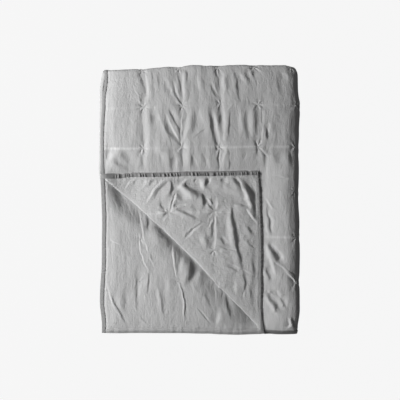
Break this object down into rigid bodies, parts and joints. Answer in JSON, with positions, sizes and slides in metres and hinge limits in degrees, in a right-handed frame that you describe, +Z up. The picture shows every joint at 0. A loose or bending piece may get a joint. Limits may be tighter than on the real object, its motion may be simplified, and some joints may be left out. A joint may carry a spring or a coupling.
{
  "type": "folded quilted bedspread",
  "caption": "Tufted quilted bedspread with darker bound edges, folded in quarters and lying flat, the lower left corner of its top layer turned back to show the reverse.",
  "frame": {"origin": "middle of the underside of the folded stack's box", "axes": "+Z up out of the top layer, +Y along the length towards the top fold, +X towards the side fold"},
  "size_m": [0.6696, 0.9046, 0.0482],
  "materials": {
    "quilt_cloth": "matt woven cloth, light grey",
    "binding_cloth": "matt woven tape, darker grey"
  },
  "bodies": {
    "root": {"quilt": "quilt_cloth", "binding_long_upper": "binding_cloth", "binding_long_lower": "binding_cloth", "binding_short_outer": "binding_cloth", "binding_short_inner": "binding_cloth"}
  },
  "joints": []
}
